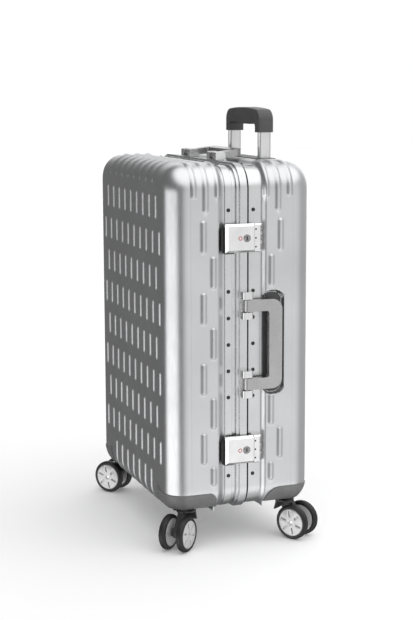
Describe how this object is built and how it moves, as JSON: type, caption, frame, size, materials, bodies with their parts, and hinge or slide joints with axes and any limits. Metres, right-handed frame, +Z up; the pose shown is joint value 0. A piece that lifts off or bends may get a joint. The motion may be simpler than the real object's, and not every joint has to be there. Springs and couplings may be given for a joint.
{
  "type": "hard shell suitcase",
  "caption": "Ribbed hard shell suitcase with an aluminium frame, flip latches with number dials, bail handles, a telescopic trolley and twin-wheel casters.",
  "frame": {"origin": "centre of the footprint on the floor", "axes": "+Z up, +X the narrow side with the locks and the side handle, -Y the front broad face on the lid, +Y the back broad face with the trolley"},
  "size_m": [0.4731, 0.3029, 0.758],
  "materials": {
    "shell": "brushed silver film over polycarbonate",
    "frame": "satin anodised",
    "gasket": "matte",
    "rivet": "polished",
    "hinge": "satin",
    "guard": "fine textured",
    "lock": "satin chrome",
    "strike": "black",
    "dial": "knurled, white figures",
    "key": "turned",
    "handle": "silver lacquer",
    "tube": "satin anodised",
    "grip": "textured",
    "button": "smooth",
    "lining": "woven polyester",
    "fork": "satin",
    "axle": "turned",
    "tyre": "smooth",
    "hub": "silver lacquer"
  },
  "bodies": {
    "case_back": {"shell_back": "shell", "frame_back": "frame", "frame_gasket": "gasket", "rivets_back": "rivet", "hinge_leaves_back": "hinge", "corner_guard_back_left": "guard", "corner_guard_back_right": "guard", "lock_body_upper": "lock", "lock_body_lower": "lock", "handle_brackets": "handle", "trolley_outer_tubes": "tube", "trolley_bezel": "grip", "lining_back": "lining"},
    "lid_front": {"shell_front": "shell", "frame_front": "frame", "rivets_front": "rivet", "hinge_leaves_front": "hinge", "corner_guard_front_left": "guard", "corner_guard_front_right": "guard", "lock_strikes": "strike", "lining_front": "lining"},
    "side_bail": {"side_handle": "handle"},
    "top_bail": {"top_handle": "handle"},
    "trolley": {"trolley_inner_tubes": "tube", "trolley_grip": "grip"},
    "grip_release": {"trolley_button": "button"},
    "latch_upper": {"latch_cover_upper": "lock"},
    "key_upper": {"key_cylinder_upper": "key"},
    "number_dial_upper_1": {"dial_upper_1": "dial"},
    "number_dial_upper_2": {"dial_upper_2": "dial"},
    "number_dial_upper_3": {"dial_upper_3": "dial"},
    "latch_lower": {"latch_cover_lower": "lock"},
    "key_lower": {"key_cylinder_lower": "key"},
    "number_dial_lower_1": {"dial_lower_1": "dial"},
    "number_dial_lower_2": {"dial_lower_2": "dial"},
    "number_dial_lower_3": {"dial_lower_3": "dial"},
    "caster_front_right": {"caster_fork_front_right": "fork", "caster_axle_front_right": "axle"},
    "wheel_front_right_a": {"tyre_front_right_a": "tyre", "hub_front_right_a": "hub"},
    "wheel_front_right_b": {"tyre_front_right_b": "tyre", "hub_front_right_b": "hub"},
    "caster_front_left": {"caster_fork_front_left": "fork", "caster_axle_front_left": "axle"},
    "wheel_front_left_a": {"tyre_front_left_a": "tyre", "hub_front_left_a": "hub"},
    "wheel_front_left_b": {"tyre_front_left_b": "tyre", "hub_front_left_b": "hub"},
    "caster_back_right": {"caster_fork_back_right": "fork", "caster_axle_back_right": "axle"},
    "wheel_back_right_a": {"tyre_back_right_a": "tyre", "hub_back_right_a": "hub"},
    "wheel_back_right_b": {"tyre_back_right_b": "tyre", "hub_back_right_b": "hub"},
    "caster_back_left": {"caster_fork_back_left": "fork", "caster_axle_back_left": "axle"},
    "wheel_back_left_a": {"tyre_back_left_a": "tyre", "hub_back_left_a": "hub"},
    "wheel_back_left_b": {"tyre_back_left_b": "tyre", "hub_back_left_b": "hub"}
  },
  "joints": [
    {"name": "lid_hinge", "type": "hinge", "parent": "case_back", "child": "lid_front", "pos_m": [-0.2156, 0.0105, 0.358], "axis": [0, 0, -1], "range_deg": [0, 100]},
    {"name": "side_handle_pivot", "type": "hinge", "parent": "case_back", "child": "side_bail", "pos_m": [0.219, 0.006, 0.358], "axis": [0, 0, -1], "range_deg": [0, 95]},
    {"name": "top_handle_pivot", "type": "hinge", "parent": "case_back", "child": "top_bail", "pos_m": [0, 0.006, 0.675], "axis": [1, 0, 0], "range_deg": [0, 95]},
    {"name": "trolley_slide", "type": "slide", "parent": "case_back", "child": "trolley", "axis": [0, 0, 1], "range_m": [-0.044, 0.36]},
    {"name": "release_button", "type": "slide", "parent": "trolley", "child": "grip_release", "axis": [0, 0, 1], "range_m": [0, 0.002], "stiffness_N_per_m": 400, "springref_m": -0.0005},
    {"name": "latch_upper_flip", "type": "hinge", "parent": "case_back", "child": "latch_upper", "pos_m": [0.222, 0.0182, 0.542], "axis": [0, 0, 1], "range_deg": [0, 85]},
    {"name": "key_upper_turn", "type": "hinge", "parent": "latch_upper", "child": "key_upper", "pos_m": [0.2197, 0.0045, 0.542], "axis": [1, 0, 0], "range_deg": [0, 90]},
    {"name": "dial_upper_1_turn", "type": "hinge", "parent": "case_back", "child": "number_dial_upper_1", "pos_m": [0.2144, 0.028, 0.557], "axis": [0, 0, 1], "continuous": true},
    {"name": "dial_upper_2_turn", "type": "hinge", "parent": "case_back", "child": "number_dial_upper_2", "pos_m": [0.2144, 0.028, 0.542], "axis": [0, 0, 1], "continuous": true},
    {"name": "dial_upper_3_turn", "type": "hinge", "parent": "case_back", "child": "number_dial_upper_3", "pos_m": [0.2144, 0.028, 0.527], "axis": [0, 0, 1], "continuous": true},
    {"name": "latch_lower_flip", "type": "hinge", "parent": "case_back", "child": "latch_lower", "pos_m": [0.222, 0.0182, 0.174], "axis": [0, 0, 1], "range_deg": [0, 85]},
    {"name": "key_lower_turn", "type": "hinge", "parent": "latch_lower", "child": "key_lower", "pos_m": [0.2197, 0.0045, 0.174], "axis": [1, 0, 0], "range_deg": [0, 90]},
    {"name": "dial_lower_1_turn", "type": "hinge", "parent": "case_back", "child": "number_dial_lower_1", "pos_m": [0.2144, 0.028, 0.189], "axis": [0, 0, 1], "continuous": true},
    {"name": "dial_lower_2_turn", "type": "hinge", "parent": "case_back", "child": "number_dial_lower_2", "pos_m": [0.2144, 0.028, 0.174], "axis": [0, 0, 1], "continuous": true},
    {"name": "dial_lower_3_turn", "type": "hinge", "parent": "case_back", "child": "number_dial_lower_3", "pos_m": [0.2144, 0.028, 0.159], "axis": [0, 0, 1], "continuous": true},
    {"name": "swivel_front_right", "type": "hinge", "parent": "lid_front", "child": "caster_front_right", "pos_m": [0.182, -0.098, 0.071], "axis": [0, 0, 1], "continuous": true},
    {"name": "spin_front_right_a", "type": "hinge", "parent": "caster_front_right", "child": "wheel_front_right_a", "pos_m": [0.20922, -0.1027, 0.031], "axis": [0.7314, 0.682, 0], "continuous": true},
    {"name": "spin_front_right_b", "type": "hinge", "parent": "caster_front_right", "child": "wheel_front_right_b", "pos_m": [0.18479, -0.12548, 0.031], "axis": [0.7314, 0.682, 0], "continuous": true},
    {"name": "swivel_front_left", "type": "hinge", "parent": "lid_front", "child": "caster_front_left", "pos_m": [-0.182, -0.098, 0.071], "axis": [0, 0, 1], "continuous": true},
    {"name": "spin_front_left_a", "type": "hinge", "parent": "caster_front_left", "child": "wheel_front_left_a", "pos_m": [-0.18812, -0.12493, 0.031], "axis": [0.6428, -0.766, 0], "continuous": true},
    {"name": "spin_front_left_b", "type": "hinge", "parent": "caster_front_left", "child": "wheel_front_left_b", "pos_m": [-0.20959, -0.09935, 0.031], "axis": [0.6428, -0.766, 0], "continuous": true},
    {"name": "swivel_back_right", "type": "hinge", "parent": "case_back", "child": "caster_back_right", "pos_m": [0.182, 0.098, 0.071], "axis": [0, 0, 1], "continuous": true},
    {"name": "spin_back_right_a", "type": "hinge", "parent": "caster_back_right", "child": "wheel_back_right_a", "pos_m": [0.2096, 0.09694, 0.031], "axis": [0.5736, -0.8192, 0], "continuous": true},
    {"name": "spin_back_right_b", "type": "hinge", "parent": "caster_back_right", "child": "wheel_back_right_b", "pos_m": [0.19044, 0.1243, 0.031], "axis": [0.5736, -0.8192, 0], "continuous": true},
    {"name": "swivel_back_left", "type": "hinge", "parent": "case_back", "child": "caster_back_left", "pos_m": [-0.182, 0.098, 0.071], "axis": [0, 0, 1], "continuous": true},
    {"name": "spin_back_left_a", "type": "hinge", "parent": "caster_back_left", "child": "wheel_back_left_a", "pos_m": [-0.18335, 0.12559, 0.031], "axis": [0.766, 0.6428, 0], "continuous": true},
    {"name": "spin_back_left_b", "type": "hinge", "parent": "caster_back_left", "child": "wheel_back_left_b", "pos_m": [-0.20893, 0.10412, 0.031], "axis": [0.766, 0.6428, 0], "continuous": true}
  ]
}
